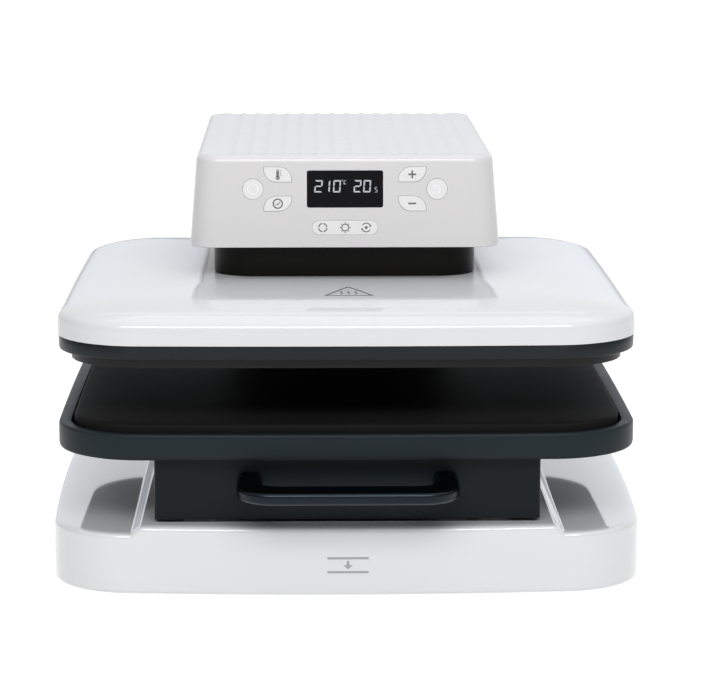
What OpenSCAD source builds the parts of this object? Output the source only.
// Desktop auto-lift heat press: a motor in the head lowers a heated platen onto a sliding tray.
// Millimetres. X is across, -Y is the front, Z is up. The origin is on the table, under the
// centre of the whole machine.

/* [Platens] */
// Width and depth of the upper cover and of the lower tray
platen_w = 400; // [380:5:420]
// Width and depth of the heated plate
plate_w = 381; // [361:5:385]
// Corner radius of the cover and the tray
platen_r = 57; // [45:1:70]
// Open gap between the heated plate and the press pad
platen_gap = 38.5; // [34:0.5:42]
// How far the lift lowers the upper platen
lift_travel = 38; // [30:0.5:38]
// Centre of both platens along Y
platen_y = -11; // [-11]

/* [Base] */
// Width of the base half way back
base_w = 415; // [405:1:420]
// Depth of the base
base_d = 467.6; // [460:0.1:475]
// Height of the rubber feet
foot_h = 3; // [2:0.5:4]
// Height of the base's side ledges above the table
ledge_z = 44.5; // [42:0.1:46]
// Height of the raised deck under the drawer
deck_z = 49.8; // [49:0.1:51]
// Width of the raised deck at its top
deck_w = 280.6; // [276:0.1:284]

/* [Drawer] */
// Width of the drawer box
drawer_w = 263; // [261:0.5:265]
// How far the drawer pulls out
drawer_travel = 260; // [200:5:265]
// Width of the handle
handle_w = 150; // [130:2:170]
// Height of the handle's bar
handle_h = 8.4; // [7:0.2:10]
// Thickness of the handle's bar, front to back
handle_t = 17; // [15:0.5:18]

/* [Head] */
// Width of the head at its bottom edge
head_w = 221; // [218:0.5:224]
// Height of the head
head_h = 65; // [65]
// How far the front and back walls lean in over the height
head_lean = 7; // [6:0.5:8]
// How far each side wall leans in over the height
head_draft = 5; // [4:0.5:6]
// Number of flutes along the top
flutes = 16; // [12:1:18]

/* [Controls] */
// Width of the display window
display_w = 54.2; // [50:0.2:56]
// Height of the display window
display_h = 26.4; // [24:0.2:28]
// Width of each leaf-shaped key
leaf_w = 19.8; // [18:0.2:21]
// Height of each leaf-shaped key
leaf_h = 10.6; // [10:0.2:11]
// Radius of the two round keys
key_r = 7.3; // [6:0.1:8]
// Gap all round each key
key_gap = 0.35; // [0.3:0.05:0.5]
// How far a key presses in
key_travel = 0.8; // [0.6:0.1:0.8]

/* [Lift mechanism] */
// Outside radius of the lead screw's thread
screw_r = 6; // [6]
// Radius of the guide rods
rod_r = 5; // [5]
// Tooth size of the gears (module)
gear_m = 1; // [1]
// Teeth on the gear on the lead screw
screw_teeth = 54; // [54]
// Teeth on the idler gear
idler_teeth = 36; // [36]
// Teeth on the motor pinion
pinion_teeth = 18; // [18]

/* [Hidden] */

$fn = 64;
wall = 3;
run_fit = 0.05;
skin = 0.01;

// Colours
white = [0.88, 0.89, 0.90];
panel_white = [0.84, 0.84, 0.84];
charcoal = [0.19, 0.21, 0.23];
jet = [0.09, 0.09, 0.08];
steel = [0.62, 0.64, 0.66];
brass = [0.78, 0.62, 0.30];
nylon = [0.90, 0.88, 0.80];
board_green = [0.10, 0.32, 0.20];

// Heights of the stack, from the table up
base_z = foot_h;
drawer_z = deck_z + 2.2;
tray_z = drawer_z + 42.7;
tray_h = 18.1;
tray_floor = 3;
board_z = tray_z + tray_floor;
pad_z = board_z + 6.6;
pad_top = pad_z + 14;
plate_z = pad_top + platen_gap;
frame_z = plate_z + 6.7;
cover_z = frame_z + 9.9;
cover_h = 26.9;
neck_z = cover_z + cover_h + 0.7;
head_z = cover_z + 49;
head_top = head_z + head_h;
head_frame_z = head_top - 21.4;
gear_z = head_frame_z + 7;
gear_h = 7;

// Base outline
base_y = 17.2;
base_bow_side = 0.0345;
base_bow_front = 0.05;
base_r = 49;
base_wall = 3.5;
deck_slope = 7;

// Platen outline
platen_bow_side = 0.008;
platen_bow_front = 0.0249;

// Drawer
drawer_front_y = -199;
drawer_back_y = 172;
drawer_sheet = 3;
slide_y = -188;
slide_overlap = 80;
slide_len = drawer_travel + slide_overlap;
rail_z = 70;
rail_sheet = 1.5;
rail_x = drawer_w / 2 - drawer_sheet - 16.5;
ball_r = 1.2;
handle_y = -251;
handle_z = 77.3;
handle_bend = 17;
handle_bar_back = 8;
handle_root_h = 11.9;
handle_root_r = 5.5;
handle_root_len = 18;

// Head and column
head_front_y = -86;
head_back_y = 251;
head_r = 18;
column_y = 198.5;
column_w = 184;
column_r = 14;
column_hw = 60;
column_side = 4;
neck_w = 188;
neck_d = 130;
neck_r = 28;
sleeve_w = 128;
sleeve_d = 72;
sleeve_r = 10;
sleeve_gap = 0.6;

// Lift mechanism
screw_y = platen_y;
rod_x = 44;
idler_y = screw_y + gear_m * (screw_teeth + idler_teeth) / 2;
motor_y = idler_y + gear_m * (idler_teeth + pinion_teeth) / 2;
bridge_z = head_z - 0.4;
carrier_z = frame_z + 20;
tube_r = 4;
tube_z = frame_z + 6;
tube_pitch = 60;
tube_reach = 150;
thread_pitch = 4;
thread_depth = 1;
thread_bottom = carrier_z - 2.5;
thread_top = head_frame_z - 8;

// Control panel: the front wall's lean, and where each key sits from the display's centre
lean_angle = atan(head_lean / head_h);
display_z = 263.7;
panel_y = head_front_y + head_lean * (display_z - head_z) / head_h;
leaf_x = 47.7;
leaf_up = 10.3;
round_x = 65.3;
lens_up = -27.3;
lens_w = 46.8;
lens_h = 10.4;
board_depth = 11;

// Rear panel
inlet_x = 40;
inlet_z = 84;
inlet_w = 27.4;
inlet_h = 20;
fuse_x = 0;
rocker_x = -40;
rocker_w = 13;
rocker_l = 22;
rocker_tilt = 9;
panel_top = 112;

// ---------- outlines ----------

function arc(cx, cy, r, from, n = 8) =
    [for (i = [0:n]) [cx + r * cos(from + 90 * i / n), cy + r * sin(from + 90 * i / n)]];

function between(p, q, m = 5) = [for (i = [1:m - 1]) p + (q - p) * i / m];

// Rounded rectangle with extra points along its sides, so that the sides can be bowed
function round_rect(hw, hd, r) =
    let (a = arc(hw - r, hd - r, r, 0),
         b = arc(r - hw, hd - r, r, 90),
         c = arc(r - hw, r - hd, r, 180),
         d = arc(hw - r, r - hd, r, 270))
    concat(a, between(a[8], b[0]), b, between(b[8], c[0]),
           c, between(c[8], d[0]), d, between(d[8], a[0]));

function bowed(pts, hw, hd, side, front) =
    [for (p = pts) [p[0] * (1 - side * pow(p[1] / hd, 2)), p[1] * (1 - front * pow(p[0] / hw, 2))]];

function moved(pts, y) = [for (p = pts) [p[0], p[1] + y]];

function platen_points(inset_x, inset_y) =
    let (half = platen_w / 2,
         r = max(platen_r - (inset_x + inset_y) / 2, 12))
    moved(bowed(round_rect(half - inset_x, half - inset_y, r), half, half,
                platen_bow_side, platen_bow_front), platen_y);

function base_points(inset) =
    let (hw = base_w / 2, hd = base_d / 2)
    moved(bowed(round_rect(hw - inset, hd - inset, base_r - inset), hw, hd,
                base_bow_side, base_bow_front), base_y);

// Section of the head at height z, drawn in by inset all round
function head_points(z, inset) =
    let (up = (z - head_z) / head_h,
         hw = head_w / 2 - head_draft * up - inset,
         y0 = head_front_y + head_lean * up + inset,
         y1 = head_back_y - head_lean * up - inset)
    moved(round_rect(hw, (y1 - y0) / 2, max(head_r - inset, 3)), (y0 + y1) / 2);

module platen_outline(inset_x, inset_y) {
    polygon(platen_points(inset_x, inset_y));
}

module base_outline(inset) {
    polygon(base_points(inset));
}

module head_outline(z, inset) {
    polygon(head_points(z, inset));
}

// One closed shell through outlines of equal point count, each at its own height
module loft(outlines, heights) {
    n = len(outlines[0]);
    last = len(outlines) - 1;
    polyhedron(
        points = [for (k = [0:last], p = outlines[k]) [p[0], p[1], heights[k]]],
        faces = concat(
            [[for (i = [0:n - 1]) i]],
            [[for (i = [n - 1:-1:0]) last * n + i]],
            [for (k = [0:last - 1], i = [0:n - 1])
                let (j = (i + 1) % n)
                [k * n + i, (k + 1) * n + i, (k + 1) * n + j, k * n + j]]));
}

// Shell through platen outlines given as [inset, height]
module platen_loft(layers) {
    loft([for (l = layers) platen_points(l[0], l[0])], [for (l = layers) l[1]]);
}

module rounded_box(size, r, z0) {
    translate([0, 0, z0]) linear_extrude(size[2]) rounded_plan(size[0], size[1], r);
}

// Plan with true round corners
module rounded_plan(w, d, r) {
    union() {
        square([w - 2 * r, d], center = true);
        square([w, d - 2 * r], center = true);
        for (x = [-1, 1], y = [-1, 1])
            translate([x * (w / 2 - r), y * (d / 2 - r)]) circle(r);
    }
}

module both_sides() {
    children();
    mirror([1, 0, 0]) children();
}

// Countersunk or pan-head screw pointing up +Z, its head below z = 0
module screw(r, length, head_r, head_h) {
    union() {
        difference() {
            translate([0, 0, -head_h]) cylinder(r = head_r, h = head_h);
            for (a = [0, 90])
                rotate([0, 0, a])
                    translate([-head_r * 0.6, -0.4, -head_h - 0.1]) cube([head_r * 1.2, 0.8, head_h * 0.5]);
        }
        cylinder(r = r, h = length);
    }
}

// Places children on the sloping front wall: x across, y up the wall, z straight out of it
module on_panel(x, up) {
    translate([0, panel_y, display_z])
        rotate([90 - lean_angle, 0, 0])
            translate([x, up, 0]) children();
}

// ---------- base ----------

base_screw_xy = [[165, -150], [165, 17], [165, 190], [100, 225], [60, -190]];
foot_xy = [[150, -165], [150, 205]];

// The base's wall as [inset, height]
base_layers = [[1.5, base_z], [-0.5, base_z + 3], [-0.2, base_z + 18],
               [0, ledge_z - 3.2], [0.9, ledge_z - 1.3], [4.5, ledge_z]];

module base_shell() {
    color(white)
        difference() {
            union() {
                loft([for (l = base_layers) base_points(l[0])], [for (l = base_layers) l[1]]);
                intersection() {
                    translate([0, 260, 0]) rotate([90, 0, 0]) linear_extrude(520)
                        polygon([[deck_w / 2, deck_z], [deck_w / 2 + deck_slope, ledge_z - 0.2],
                                 [deck_w / 2 + deck_slope, ledge_z - 3],
                                 [-deck_w / 2 - deck_slope, ledge_z - 3],
                                 [-deck_w / 2 - deck_slope, ledge_z - 0.2], [-deck_w / 2, deck_z]]);
                    translate([0, 0, base_z]) linear_extrude(60) base_outline(2.5);
                }
            }
            difference() {
                translate([0, 0, base_z - 1]) linear_extrude(ledge_z - wall - base_z + 1)
                    base_outline(base_wall);
                both_sides()
                    for (p = base_screw_xy)
                        translate([p[0], p[1], base_z + 2]) cylinder(r = 5, h = 40);
            }
            both_sides()
                for (p = base_screw_xy)
                    translate([p[0], p[1], base_z]) cylinder(r = 2, h = 16);
            translate([-column_hw - 6, 202, ledge_z - wall - 1]) cube([2 * column_hw + 12, 45, 20]);
            both_sides()
                for (y = [-150, 0, 140])
                    translate([rail_x - 14, y, ledge_z - wall - 1]) cylinder(r = 2, h = 20);
        }
}

module base_plate() {
    color(steel)
        difference() {
            translate([0, 0, base_z]) linear_extrude(2) base_outline(base_wall + 0.4);
            both_sides()
                for (p = base_screw_xy)
                    translate([p[0], p[1], base_z - 1]) cylinder(r = 2, h = 4);
        }
}

module rubber_feet() {
    color(jet)
        both_sides()
            for (p = foot_xy)
                translate([p[0], p[1], 0])
                    rotate_extrude()
                        polygon([[0, 0], [9, 0], [11.5, 1.5], [12, foot_h], [0, foot_h]]);
}

module base_screws() {
    color(steel)
        both_sides()
            for (p = base_screw_xy)
                translate([p[0], p[1], base_z]) screw(1.95, 15, 3.8, 1.8);
}

// ---------- drawer slides ----------

module channel(x0, depth, half_h, y0, length) {
    translate([0, y0 + length, rail_z]) rotate([90, 0, 0]) linear_extrude(length)
        union() {
            translate([x0, -half_h]) square([rail_sheet, 2 * half_h]);
            for (s = [-1, 1])
                translate([x0, s * (half_h - rail_sheet / 2) - rail_sheet / 2]) square([depth, rail_sheet]);
        }
}

module runner_brackets() {
    color(steel)
        both_sides()
            difference() {
                union() {
                    translate([rail_x - 3, slide_y, deck_z]) cube([3, slide_len, rail_z + 17 - deck_z]);
                    translate([rail_x - 22, slide_y, deck_z]) cube([20, slide_len, 2]);
                }
                for (y = [-150, 0, 140])
                    translate([rail_x - 14, y, deck_z - 1]) cylinder(r = 2, h = 4);
                for (y = [-120, -30, 60])
                    translate([rail_x - 4, y, rail_z - 4]) cube([5, 40, 10]);
            }
}

module outer_rails() {
    color(steel) both_sides() channel(rail_x, 13, 17.5, slide_y, slide_len);
}

module middle_rails() {
    color(steel) both_sides() channel(rail_x + 2.5, 10, 13, slide_y, slide_len);
}

module inner_rails() {
    color(steel)
        both_sides()
            translate([2 * (rail_x + 16.5), 0, 0]) mirror([1, 0, 0])
                channel(rail_x + 16.5, 10.5, 8.5, slide_y, slide_len);
}

module ball_cage(z, y0, length) {
    union() {
        translate([rail_x + 6.2, y0, z - 0.35]) cube([4.6, length, 0.7]);
        for (i = [0:7])
            translate([rail_x + 8.5, y0 + 12 + i * (length - 24) / 7, z]) sphere(ball_r);
    }
}

module outer_ball_cages() {
    color(brass)
        both_sides()
            for (s = [-1, 1]) ball_cage(rail_z + s * 14.5, slide_y + 6, 250);
}

module inner_ball_cages() {
    color(brass)
        both_sides()
            for (s = [-1, 1]) ball_cage(rail_z + s * 10, slide_y + 6, 250);
}

// ---------- drawer ----------

tray_screw_xy = [[100, -192.3], [30, -192.3], [100, 168]];

module drawer_box() {
    depth = drawer_back_y - drawer_front_y;
    color(charcoal)
        difference() {
            union() {
                difference() {
                    translate([0, drawer_front_y + depth / 2, 0])
                        rounded_box([drawer_w, depth, tray_z - drawer_z], 3, drawer_z);
                    translate([-drawer_w / 2 + drawer_sheet, drawer_front_y + drawer_sheet, drawer_z - 1])
                        cube([drawer_w - 2 * drawer_sheet, depth, 60]);
                }
                translate([-drawer_w / 2 + 1, drawer_front_y + 1, tray_z - 3])
                    cube([drawer_w - 2, 9, 3]);
                translate([-drawer_w / 2 + 1, drawer_back_y - 10, tray_z - 3])
                    cube([drawer_w - 2, 10, 3]);
                translate([-drawer_w / 2 + 1, drawer_front_y + 1, drawer_z]) cube([drawer_w - 2, 7, 2]);
            }
            both_sides()
                for (p = tray_screw_xy)
                    translate([p[0], p[1], tray_z - 4]) cylinder(r = 1.6, h = 6);
            both_sides()
                translate([handle_w / 2 - handle_t / 2, drawer_front_y + 5, handle_z])
                    rotate([90, 0, 0]) cylinder(r = 2.5, h = 10);
        }
}

module lower_tray() {
    color(charcoal)
        difference() {
            platen_loft([[2.2, tray_z], [0.6, tray_z + 1], [0, tray_z + 3], [0, tray_z + tray_h - 2],
                         [0.6, tray_z + tray_h - 0.6], [1.8, tray_z + tray_h]]);
            translate([0, 0, tray_z + tray_floor]) linear_extrude(30) platen_outline(8.7, 4.7);
            both_sides()
                for (p = tray_screw_xy)
                    translate([p[0], p[1], tray_z - 1]) cylinder(r = 1.5, h = 3);
        }
}

module backing_board() {
    color([0.72, 0.66, 0.52])
        translate([0, 0, board_z]) linear_extrude(pad_z - board_z) platen_outline(15, 13);
}

module press_pad() {
    layers = [[1.2, pad_z], [0, pad_z + 2], [0, pad_top - 3.4], [0.5, pad_top - 1.7],
              [1.8, pad_top - 0.6], [4, pad_top]];
    color(jet)
        loft([for (l = layers) platen_points(10.8 + l[0], 8.6 + l[0])], [for (l = layers) l[1]]);
}

// Rounded section of the handle bar, centred
module handle_section() {
    rounded_plan(handle_t, handle_h, 3);
}

module handle() {
    hw = handle_w / 2;
    mid = handle_bend;
    leg = drawer_front_y - (handle_y + handle_t / 2 + mid);
    root_z = handle_z + (handle_root_h - handle_h) / 2;
    color(charcoal)
        difference() {
            union() {
                translate([0, handle_y + handle_t / 2, handle_z]) {
                    translate([-(hw - handle_t / 2 - mid), 0, 0]) rotate([0, 90, 0])
                        linear_extrude(2 * (hw - handle_t / 2 - mid)) rotate(90) handle_section();
                    both_sides() {
                        translate([hw - handle_t / 2 - mid, mid, 0]) rotate([0, 0, -90])
                            rotate_extrude(angle = 90) translate([mid, 0]) handle_section();
                        translate([hw - handle_t / 2, mid + leg, 0]) rotate([90, 0, 0])
                            linear_extrude(leg) handle_section();
                    }
                    translate([handle_t - hw, handle_bar_back, 0]) rotate([90, 0, 90])
                        linear_extrude(2 * (hw - handle_t)) handle_section();
                }
                both_sides()
                    translate([hw - handle_t / 2, drawer_front_y, root_z]) rotate([90, 0, 0])
                        linear_extrude(handle_root_len)
                            rounded_plan(handle_t, handle_root_h, handle_root_r);
            }
            both_sides()
                translate([hw - handle_t / 2, drawer_front_y + 1, handle_z])
                    rotate([90, 0, 0]) cylinder(r = 2.5, h = 17);
        }
}

module handle_screws() {
    color(steel)
        both_sides()
            translate([handle_w / 2 - handle_t / 2, drawer_front_y + drawer_sheet, handle_z])
                rotate([90, 0, 0]) screw(2.45, 18, 4.5, 2.6);
}

module tray_screws() {
    color(steel)
        both_sides()
            for (p = tray_screw_xy)
                translate([p[0], p[1], tray_z - 3]) screw(1.45, 4.8, 2.8, 1.6);
}

// ---------- column ----------

module column_frame() {
    z0 = base_z + 2;
    tall = head_frame_z - z0;
    color(steel)
        union() {
            both_sides()
                translate([column_hw - column_side, 206, z0]) cube([column_side, 34, tall]);
            translate([-column_hw, 236, panel_top])
                cube([2 * column_hw, column_side, head_frame_z - panel_top]);
            translate([-column_hw - 6, 206, z0]) cube([2 * column_hw + 12, 34, 3]);
            translate([-column_hw, 206, head_frame_z - 3]) cube([2 * column_hw, 34, 3]);
        }
}

module column_cover() {
    depth = head_back_y - column_y;
    mid = column_y + depth / 2;
    color(white)
        difference() {
            translate([0, mid, 0]) rounded_box([column_w, depth, head_z - deck_z], column_r, deck_z);
            translate([0, mid, 0])
                rounded_box([column_w - 2 * wall, depth - 2 * wall, 200], column_r - wall, deck_z - 1);
            translate([inlet_x - inlet_w / 2, head_back_y - 6, inlet_z - inlet_h / 2])
                cube([inlet_w, 10, inlet_h]);
            translate([fuse_x, head_back_y + 1, inlet_z]) rotate([90, 0, 0]) cylinder(r = 6.2, h = 8);
            translate([rocker_x - rocker_w / 2, head_back_y - 6, inlet_z - rocker_l / 2])
                cube([rocker_w, 10, rocker_l]);
            for (i = [0:7])
                translate([-50, head_back_y - 6, 120 + i * 8]) cube([100, 10, 2.6]);
        }
}

module inlet_socket() {
    y = head_back_y;
    color(jet)
        difference() {
            union() {
                translate([inlet_x - inlet_w / 2 + 0.1, y - 22, inlet_z - inlet_h / 2 + 0.1])
                    cube([inlet_w - 0.2, 22, inlet_h - 0.2]);
                translate([inlet_x - 15, y - 24, inlet_z - 12]) cube([30, 20.9, 24]);
            }
            translate([inlet_x - 12, y - 16, inlet_z - 8.2]) cube([24, 18, 16.4]);
        }
    color(steel)
        for (p = [[-7, -3], [0, 0], [7, -3]])
            translate([inlet_x + p[0] - 1, y - 16, inlet_z + p[1] - 2]) cube([2, 12, 4]);
}

module fuse_holder() {
    y = head_back_y;
    color(jet)
        union() {
            difference() {
                translate([fuse_x, y - 0.4, inlet_z]) rotate([90, 0, 0]) cylinder(r = 6.1, h = 30);
                translate([fuse_x - 4, y - 2, inlet_z - 0.7]) cube([8, 3, 1.4]);
            }
            translate([fuse_x, y - wall, inlet_z]) rotate([90, 0, 0]) cylinder(r = 8.5, h = 3);
        }
}

module switch_housing() {
    y = head_back_y;
    color(jet)
        difference() {
            union() {
                translate([rocker_x - rocker_w / 2 + 0.1, y - 22, inlet_z - rocker_l / 2 + 0.1])
                    cube([rocker_w - 0.2, 22, rocker_l - 0.2]);
                translate([rocker_x - 8.5, y - 20, inlet_z - 13.5]) cube([17, 16.9, 27]);
            }
            translate([rocker_x - rocker_w / 2 + 1.6, y - 12, inlet_z - rocker_l / 2 + 1.6])
                cube([rocker_w - 3.2, 14, rocker_l - 3.2]);
        }
}

// Shown switched off, its lower half pressed in
module switch_rocker() {
    y = head_back_y - 5;
    w = rocker_w - 4;
    color(jet)
        translate([rocker_x, y, inlet_z]) rotate([rocker_tilt, 0, 0])
            translate([-w / 2, 0, 0]) rotate([90, 0, 90])
                union() {
                    linear_extrude(w)
                        polygon([[-3, -7.6], [2.2, -8.2], [0.6, 0], [2.2, 8.2], [-3, 7.6]]);
                    translate([0, 0, -0.25]) cylinder(r = 0.5, h = w + 0.5);
                }
}

// ---------- head ----------

module head_frame() {
    color(steel)
        difference() {
            union() {
                translate([-70, -56, head_frame_z]) cube([140, 296, 4]);
                both_sides() translate([66, -56, head_frame_z - 12]) cube([4, 256, 12]);
            }
            translate([0, screw_y, head_frame_z - 1]) cylinder(r = 13, h = 6);
            both_sides()
                translate([rod_x, screw_y, head_frame_z - 1]) cylinder(r = rod_r + run_fit, h = 6);
            translate([0, motor_y, head_frame_z - 1]) cylinder(r = 4, h = 6);
            for (y = [110, 160]) translate([-30, y, head_frame_z - 1]) cube([60, 34, 6]);
        }
    color(steel)
        union() {
            translate([0, idler_y, head_frame_z + 4]) cylinder(r = 7, h = gear_z - head_frame_z - 4.3);
            translate([0, idler_y, head_frame_z + 4]) cylinder(r = 4, h = 13);
        }
}

module head_base() {
    color(white)
        difference() {
            translate([0, 0, head_z]) linear_extrude(wall) head_outline(head_z + wall, wall + 0.3);
            translate([-sleeve_w / 2 - 4, screw_y - sleeve_d / 2 - 4, head_z - 1])
                cube([sleeve_w + 8, sleeve_d + 8, 6]);
            translate([-column_hw - 1, 205, head_z - 1]) cube([2 * column_hw + 2, 40, 6]);
            for (i = [0:9])
                translate([-60 + i * 12.5, 90, head_z - 1]) cube([4, 70, 6]);
            both_sides()
                for (y = [-66, 60, 190]) translate([84, y, head_z - 1]) cylinder(r = 2, h = 6);
        }
}

module head_screws() {
    color(steel)
        both_sides()
            for (y = [60, 190])
                translate([84, y, head_z]) screw(1.95, 14, 3.6, 1.8);
}

module leaf_plan(w, h, grow, flip) {
    r = h * 0.86;
    mirror([flip ? 1 : 0, 0])
        intersection() {
            square([w + 2 * grow, h + 2 * grow], center = true);
            translate([-(w / 2 - r), (h / 2 - r)])
                union() {
                    circle(r + grow);
                    translate([0, -100]) square([100, 100 + r + grow]);
                    translate([-r - grow, -100]) square([100, 100]);
                }
            translate([(w / 2 - r), -(h / 2 - r)])
                union() {
                    circle(r + grow);
                    translate([-100, -r - grow]) square([100, 100 + r]);
                    translate([r + grow - 100, 0]) square([100, 100]);
                }
        }
}

module lens_plan(grow) {
    r = lens_h / 2 + grow;
    union() {
        square([lens_w - lens_h, 2 * r], center = true);
        for (s = [-1, 1]) translate([s * (lens_w - lens_h) / 2, 0]) circle(r);
    }
}

// The head's wall and top edge as [inset, height]
head_layers = [[0, head_z], [0, head_top - 4.5], [0.6, head_top - 2.4],
               [2.2, head_top - 0.7], [5, head_top - skin]];

module head_solid(layers) {
    hull()
        for (l = layers)
            translate([0, 0, l[1]]) linear_extrude(skin) polygon(head_points(l[1], l[0]));
}

module head_cover() {
    color(panel_white)
        difference() {
            head_solid(head_layers);
            head_solid([[wall, head_z - 1], [wall, head_top - wall]]);
            for (i = [0:flutes - 1])
                translate([(i - (flutes - 1) / 2) * 12, 244, head_top + 19.2])
                    rotate([90.18, 0, 0]) cylinder(r = 20, h = 306);
            on_panel(0, 0) translate([-display_w / 2, -display_h / 2, -8]) cube([display_w, display_h, 12]);
            on_panel(0, lens_up) translate([0, 0, -8]) linear_extrude(12) lens_plan(0);
            for (s = [-1, 1])
                on_panel(s * round_x, 0) translate([0, 0, -8]) cylinder(r = key_r + key_gap, h = 12);
            for (sx = [-1, 1], sy = [-1, 1])
                on_panel(sx * leaf_x, sy * leaf_up) translate([0, 0, -8])
                    linear_extrude(12) leaf_plan(leaf_w, leaf_h, key_gap, sx * sy < 0);
            for (i = [0:9])
                translate([-54 + i * 12, head_back_y - 20, head_z + 18]) cube([4, 40, 28]);
        }
}

module neck_housing() {
    color(jet)
        difference() {
            translate([0, screw_y, 0]) rounded_box([neck_w, neck_d, head_z - neck_z], neck_r, neck_z);
            translate([0, screw_y, 0])
                rounded_box([neck_w - 5, neck_d - 5, 60], neck_r - 2.5, neck_z + 2.5);
            translate([0, screw_y, 0])
                rounded_box([sleeve_w + 2 * sleeve_gap, sleeve_d + 2 * sleeve_gap, 20],
                            sleeve_r + sleeve_gap, neck_z - 5);
        }
}

// ---------- lift mechanism ----------

module guide_rods() {
    color(steel)
        both_sides()
            translate([rod_x, screw_y, 0]) {
                translate([0, 0, carrier_z - 1.5])
                    cylinder(r = rod_r, h = head_frame_z + 4 - carrier_z + 1.5);
                translate([0, 0, head_frame_z + 4]) cylinder(r = 8, h = 4, $fn = 6);
            }
}

module screw_bearing() {
    color(steel)
        translate([0, screw_y, head_frame_z - 2])
            difference() {
                cylinder(r = 13, h = 8);
                translate([0, 0, -1]) cylinder(r = 5 + run_fit, h = 10);
                for (z = [-0.1, 7.5])
                    translate([0, 0, z]) difference() {
                        cylinder(r = 10.6, h = 0.6);
                        cylinder(r = 7.4, h = 0.6);
                    }
            }
}

module lead_screw() {
    turns = floor((thread_top - thread_bottom) / thread_pitch);
    core = screw_r - thread_depth;
    color(steel)
        translate([0, screw_y, 0])
            rotate_extrude()
                polygon(concat(
                    [[0, thread_bottom]],
                    [for (i = [0:turns - 1], k = [0:3])
                        [k == 0 || k == 3 ? core : screw_r,
                         thread_bottom + (i + [0, 0.2, 0.6, 0.8][k]) * thread_pitch]],
                    [[core, thread_top], [8, thread_top], [8, head_frame_z - 2.3],
                     [5, head_frame_z - 2.3], [5, head_top - 4], [0, head_top - 4]]));
}

module gear(teeth, bore, hub, web) {
    pitch = gear_m * teeth / 2;
    root = pitch - 1.2 * gear_m;
    tip = pitch + 0.8 * gear_m;
    half_root = 90 / teeth * 1.25;
    half_tip = 90 / teeth * 0.42;
    difference() {
        union() {
            linear_extrude(gear_h)
                difference() {
                    union() {
                        circle(root);
                        for (i = [0:teeth - 1])
                            rotate(i * 360 / teeth)
                                polygon([[root * 0.97 * cos(half_root), -root * 0.97 * sin(half_root)],
                                         [tip * cos(half_tip), -tip * sin(half_tip)],
                                         [tip * cos(half_tip), tip * sin(half_tip)],
                                         [root * 0.97 * cos(half_root), root * 0.97 * sin(half_root)]]);
                    }
                    circle(bore);
                    if (web > 0)
                        for (i = [0:4])
                            rotate(i * 72) translate([(root + hub) / 2, 0]) circle(web);
                }
        }
    }
}

module screw_gear() {
    color(nylon)
        translate([0, screw_y, gear_z]) gear(screw_teeth, 5 + run_fit / 2, 9, 6);
}

module idler_gear() {
    color(nylon)
        translate([0, idler_y, gear_z]) rotate(90) gear(idler_teeth, 4 + run_fit, 7, 3.4);
}

module motor_pinion() {
    color(brass)
        translate([0, motor_y, gear_z]) rotate(90 + 180 / pinion_teeth) gear(pinion_teeth, 3, 4, 0);
    color(steel)
        translate([0, motor_y, head_frame_z - 20]) cylinder(r = 3, h = gear_z + gear_h - head_frame_z + 20);
}

module lift_motor() {
    color(steel)
        difference() {
            union() {
                translate([0, motor_y, head_frame_z - 38]) cylinder(r = 18, h = 30);
                translate([0, motor_y, head_frame_z - 8]) cylinder(r = 19, h = 8);
                translate([0, motor_y, head_frame_z - 40]) cylinder(r = 6, h = 3);
                for (s = [-1, 1])
                    translate([s * 10 - 2, motor_y - 0.5, head_frame_z - 40]) cube([4, 1, 3]);
            }
            translate([0, motor_y, head_frame_z - 21]) cylinder(r = 3 + run_fit, h = 22);
        }
}

module lift_bracket() {
    foot_z = carrier_z + 2.5;
    color(steel)
        difference() {
            union() {
                translate([-58, screw_y - 18, bridge_z]) cube([116, 36, 4]);
                both_sides() translate([54, screw_y - 18, foot_z]) cube([4, 36, bridge_z - foot_z]);
                translate([-58, screw_y - 18, foot_z]) cube([116, 36, 3]);
            }
            translate([0, screw_y, foot_z - 1]) cylinder(r = 10, h = 6);
            translate([0, screw_y, bridge_z - 1]) cylinder(r = 10, h = 6);
            both_sides() {
                translate([rod_x, screw_y, foot_z - 1]) cylinder(r = 7, h = 6);
                translate([rod_x, screw_y, bridge_z - 1]) cylinder(r = 8, h = 6);
            }
        }
}

module lift_nut() {
    color(brass)
        translate([0, screw_y, 0])
            difference() {
                union() {
                    translate([0, 0, bridge_z - 10]) cylinder(r = 10, h = 14);
                    translate([0, 0, bridge_z + 4]) cylinder(r = 14, h = 4);
                }
                translate([0, 0, bridge_z - 11]) cylinder(r = screw_r + run_fit, h = 20);
            }
}

module guide_bushes() {
    color(brass)
        both_sides()
            translate([rod_x, screw_y, 0])
                difference() {
                    union() {
                        translate([0, 0, bridge_z - 8]) cylinder(r = 8, h = 12);
                        translate([0, 0, bridge_z + 4]) cylinder(r = 11, h = 3);
                    }
                    translate([0, 0, bridge_z - 9]) cylinder(r = rod_r + run_fit, h = 20);
                }
}

module lift_sleeve() {
    z0 = carrier_z + 2.5;
    top = neck_z + lift_travel + 6;
    color(jet)
        translate([0, screw_y, 0])
            difference() {
                rounded_box([sleeve_w, sleeve_d, top - z0], sleeve_r, z0);
                rounded_box([sleeve_w - 5, sleeve_d - 5, 100], sleeve_r - 2.5, z0 - 1);
            }
}

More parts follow.
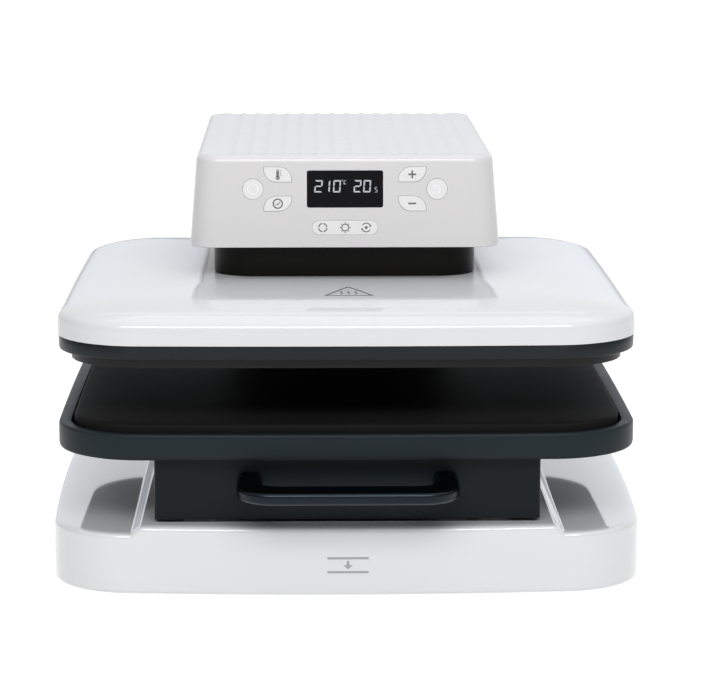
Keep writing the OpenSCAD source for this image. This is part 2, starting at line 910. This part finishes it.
module carrier_plate() {
    color(steel)
        difference() {
            translate([0, screw_y, 0]) rounded_box([310, 310, 2.5], 12, carrier_z);
            translate([0, screw_y, carrier_z - 1]) cylinder(r = 9, h = 5);
            both_sides() translate([rod_x, screw_y, carrier_z - 1]) cylinder(r = 7, h = 5);
            both_sides()
                for (p = standoff_xy)
                    translate([p[0], screw_y + p[1], carrier_z - 1]) cylinder(r = 2, h = 5);
            both_sides()
                translate([90, screw_y, carrier_z - 1]) rounded_box([30, 150, 6], 8, 0);
        }
}

// ---------- upper platen ----------

standoff_xy = [[120, -130], [120, 0], [120, 130], [60, 130], [60, -130]];

// The cover's section, as [inset, height]: an upright edge, a shoulder and a low crown
cover_profile = [[0, 0], [0, 10.6], [0.7, 12.8], [2.4, 15], [5.2, 17], [9.5, 18.9], [15, 20.5],
                 [22, 22.2], [30, 23.6], [55, 25.2], [95, 26.5], [125, 26.9]];

// The hollow under the cover, in steps of [inset, height]
cover_cavity = [[wall, 10], [9, 15.5], [36, 20.5]];

module upper_cover() {
    opening = [sleeve_w + 2 * sleeve_gap, sleeve_d + 2 * sleeve_gap];
    color(white)
        difference() {
            platen_loft([for (p = cover_profile) [p[0], cover_z + p[1]]]);
            for (c = cover_cavity)
                translate([0, 0, cover_z - 1]) linear_extrude(c[1] + 1) platen_outline(c[0], c[0]);
            translate([0, screw_y, 0])
                rounded_box([opening[0], opening[1], 60], sleeve_r + sleeve_gap, cover_z + 5);
        }
}

module platen_frame() {
    color(charcoal)
        difference() {
            platen_loft([[1.6, frame_z], [0.9, frame_z + 1], [0.7, cover_z]]);
            translate([0, 0, frame_z - 1]) linear_extrude(20) platen_outline(22.5, 22.5);
        }
}

module heating_plate() {
    inset = (platen_w - plate_w) / 2;
    color([0.20, 0.19, 0.18])
        union() {
            translate([0, 0, plate_z]) linear_extrude(frame_z - plate_z) platen_outline(inset, inset);
            translate([0, 0, frame_z - 0.5]) linear_extrude(2.5) platen_outline(23, 23);
        }
}

// One serpentine element: three runs joined by two U bends
module tube_run() {
    union() {
        for (i = [0:2])
            translate([30 + i * tube_pitch, screw_y + tube_reach - 30, tube_z]) rotate([90, 0, 0])
                cylinder(r = tube_r, h = 2 * (tube_reach - 30));
        translate([60, screw_y + tube_reach - 30, tube_z]) rotate_extrude(angle = 180)
            translate([30, 0]) circle(tube_r);
        translate([120, screw_y - tube_reach + 30, tube_z]) rotate([0, 0, 180]) rotate_extrude(angle = 180)
            translate([30, 0]) circle(tube_r);
    }
}

module heating_tubes() {
    color(steel) both_sides() tube_run();
}

module tube_clamps() {
    color(steel)
        for (y = [-95, -35, 35, 95])
            translate([-165, screw_y + y - 6, tube_z + tube_r]) cube([330, 12, 1.5]);
}

module thermostat() {
    z0 = frame_z + 2;
    color([0.35, 0.22, 0.14])
        union() {
            translate([60, screw_y, z0]) cylinder(r = 9, h = 5);
            translate([60, screw_y, z0 + 5]) cylinder(r = 6, h = 2.5);
        }
    color(steel)
        union() {
            translate([-66, screw_y - 4, z0]) cube([12, 8, 3]);
            translate([-64, screw_y - 2, z0 + 3]) cube([8, 4, 2.5]);
        }
}

module standoffs() {
    z0 = frame_z + 2;
    color(steel)
        both_sides()
            for (p = standoff_xy)
                translate([p[0], screw_y + p[1], z0])
                    difference() {
                        cylinder(r = 5, h = carrier_z - z0);
                        translate([0, 0, 6]) cylinder(r = 2, h = 20);
                    }
}

module insulation_board() {
    z0 = tube_z + tube_r + 1.5;
    color([0.86, 0.83, 0.74])
        difference() {
            translate([0, 0, z0]) linear_extrude(4) platen_outline(30, 30);
            both_sides()
                for (p = standoff_xy)
                    translate([p[0], screw_y + p[1], z0 - 1]) cylinder(r = 5.4, h = 8);
        }
}

module platen_screws() {
    color(steel)
        both_sides()
            for (p = standoff_xy)
                translate([p[0], screw_y + p[1], carrier_z + 2.5])
                    rotate([180, 0, 0]) screw(1.95, 12, 4, 2.2);
}

// ---------- controls ----------

module display_window() {
    color(jet)
        on_panel(0, 0)
            translate([0, 0, -wall]) linear_extrude(wall - 0.2)
                rounded_plan(display_w - 0.3, display_h - 0.3, 1.6);
}

module display_module() {
    color([0.75, 0.75, 0.72])
        on_panel(0, 0)
            union() {
                translate([-24, -9, -board_depth]) cube([48, 18, board_depth - wall - 0.4]);
                for (i = [0:8], s = [-1, 1])
                    translate([-20 + i * 5, s * 7.6, -board_depth - 2.6]) cylinder(r = 0.4, h = 3);
            }
}

module control_board() {
    color(board_green)
        on_panel(0, -8)
            difference() {
                translate([-78, -24, -board_depth - 1.6]) cube([156, 44, 1.6]);
                for (x = [-74, 74], y = [-20, 16])
                    translate([x, y, -board_depth - 3]) cylinder(r = 1.6, h = 6);
                for (i = [0:8], s = [-1, 1])
                    translate([-20 + i * 5, 8 + s * 7.6, -board_depth - 3]) cylinder(r = 0.5, h = 4);
            }
    color(steel)
        for (k = key_places)
            on_panel(k[0], k[1])
                union() {
                    translate([-3, -3, -board_depth]) cube([6, 6, 3.2]);
                    translate([0, 0, -board_depth])
                        cylinder(r = 1.7, h = board_depth - wall - 3.5 - key_travel - 0.4);
                }
}

key_places = [[-round_x, 0], [-leaf_x, leaf_up], [-leaf_x, -leaf_up],
              [leaf_x, leaf_up], [leaf_x, -leaf_up], [round_x, 0]];

module indicator_lens() {
    color([0.93, 0.93, 0.93])
        on_panel(0, lens_up)
            union() {
                translate([0, 0, -wall]) linear_extrude(wall - 0.1) lens_plan(-0.15);
                translate([-lens_w / 2 - 2, -lens_h / 2 - 1, -wall - 1.5])
                    cube([lens_w + 4, lens_h + 2, 1.5]);
            }
}

module leaf_key(x, up, flip) {
    color([0.92, 0.92, 0.92])
        on_panel(x, up)
            union() {
                translate([0, 0, -wall - 0.5])
                    linear_extrude(wall + 0.7) leaf_plan(leaf_w, leaf_h, 0, flip);
                translate([-3.5, -3.5, -wall - 3]) cube([7, 7, 2.6]);
            }
}

module round_key(x) {
    color([0.94, 0.94, 0.94])
        on_panel(x, 0)
            union() {
                translate([0, 0, -wall - 0.5]) cylinder(r = key_r, h = wall + 0.7);
                translate([-3.5, -3.5, -wall - 3]) cube([7, 7, 2.6]);
            }
}

module power_key() { round_key(-round_x); }
module mode_key() { round_key(round_x); }
module temperature_key() { leaf_key(-leaf_x, leaf_up, true); }
module timer_key() { leaf_key(-leaf_x, -leaf_up, false); }
module plus_key() { leaf_key(leaf_x, leaf_up, false); }
module minus_key() { leaf_key(leaf_x, -leaf_up, true); }

module power_board() {
    z0 = head_z + wall + 5;
    color(board_green)
        difference() {
            union() {
                translate([-58, 100, z0]) cube([116, 92, 1.6]);
                for (x = [-53, 53], y = [105, 187])
                    translate([x, y, head_z + wall]) cylinder(r = 3, h = 5);
            }
            for (x = [-53, 53], y = [105, 187])
                translate([x, y, z0 - 1]) cylinder(r = 1.5, h = 5);
        }
    color([0.85, 0.75, 0.25]) translate([-40, 112, z0 + 1.6]) cube([30, 26, 20]);
    color([0.10, 0.20, 0.45]) translate([0, 112, z0 + 1.6]) cube([16, 12, 14]);
    color([0.10, 0.20, 0.45]) translate([20, 112, z0 + 1.6]) cube([16, 12, 14]);
    color(jet)
        for (x = [-30, -14, 2]) translate([x, 160, z0 + 1.6]) cylinder(r = 6, h = 18);
    color(steel) translate([20, 140, z0 + 1.6]) cube([22, 36, 10]);
}

base_shell();
base_plate();
rubber_feet();
base_screws();
runner_brackets();
outer_rails();
outer_ball_cages();
middle_rails();
inner_ball_cages();
inner_rails();
drawer_box();
lower_tray();
backing_board();
press_pad();
handle();
handle_screws();
tray_screws();
column_frame();
column_cover();
head_frame();
head_base();
head_cover();
head_screws();
neck_housing();
guide_rods();
screw_bearing();
lead_screw();
screw_gear();
idler_gear();
motor_pinion();
lift_motor();
lift_bracket();
lift_nut();
guide_bushes();
lift_sleeve();
carrier_plate();
upper_cover();
platen_frame();
standoffs();
insulation_board();
heating_plate();
heating_tubes();
tube_clamps();
thermostat();
platen_screws();
display_window();
display_module();
control_board();
indicator_lens();
power_key();
temperature_key();
timer_key();
plus_key();
minus_key();
mode_key();
power_board();
inlet_socket();
fuse_holder();
switch_housing();
switch_rocker();
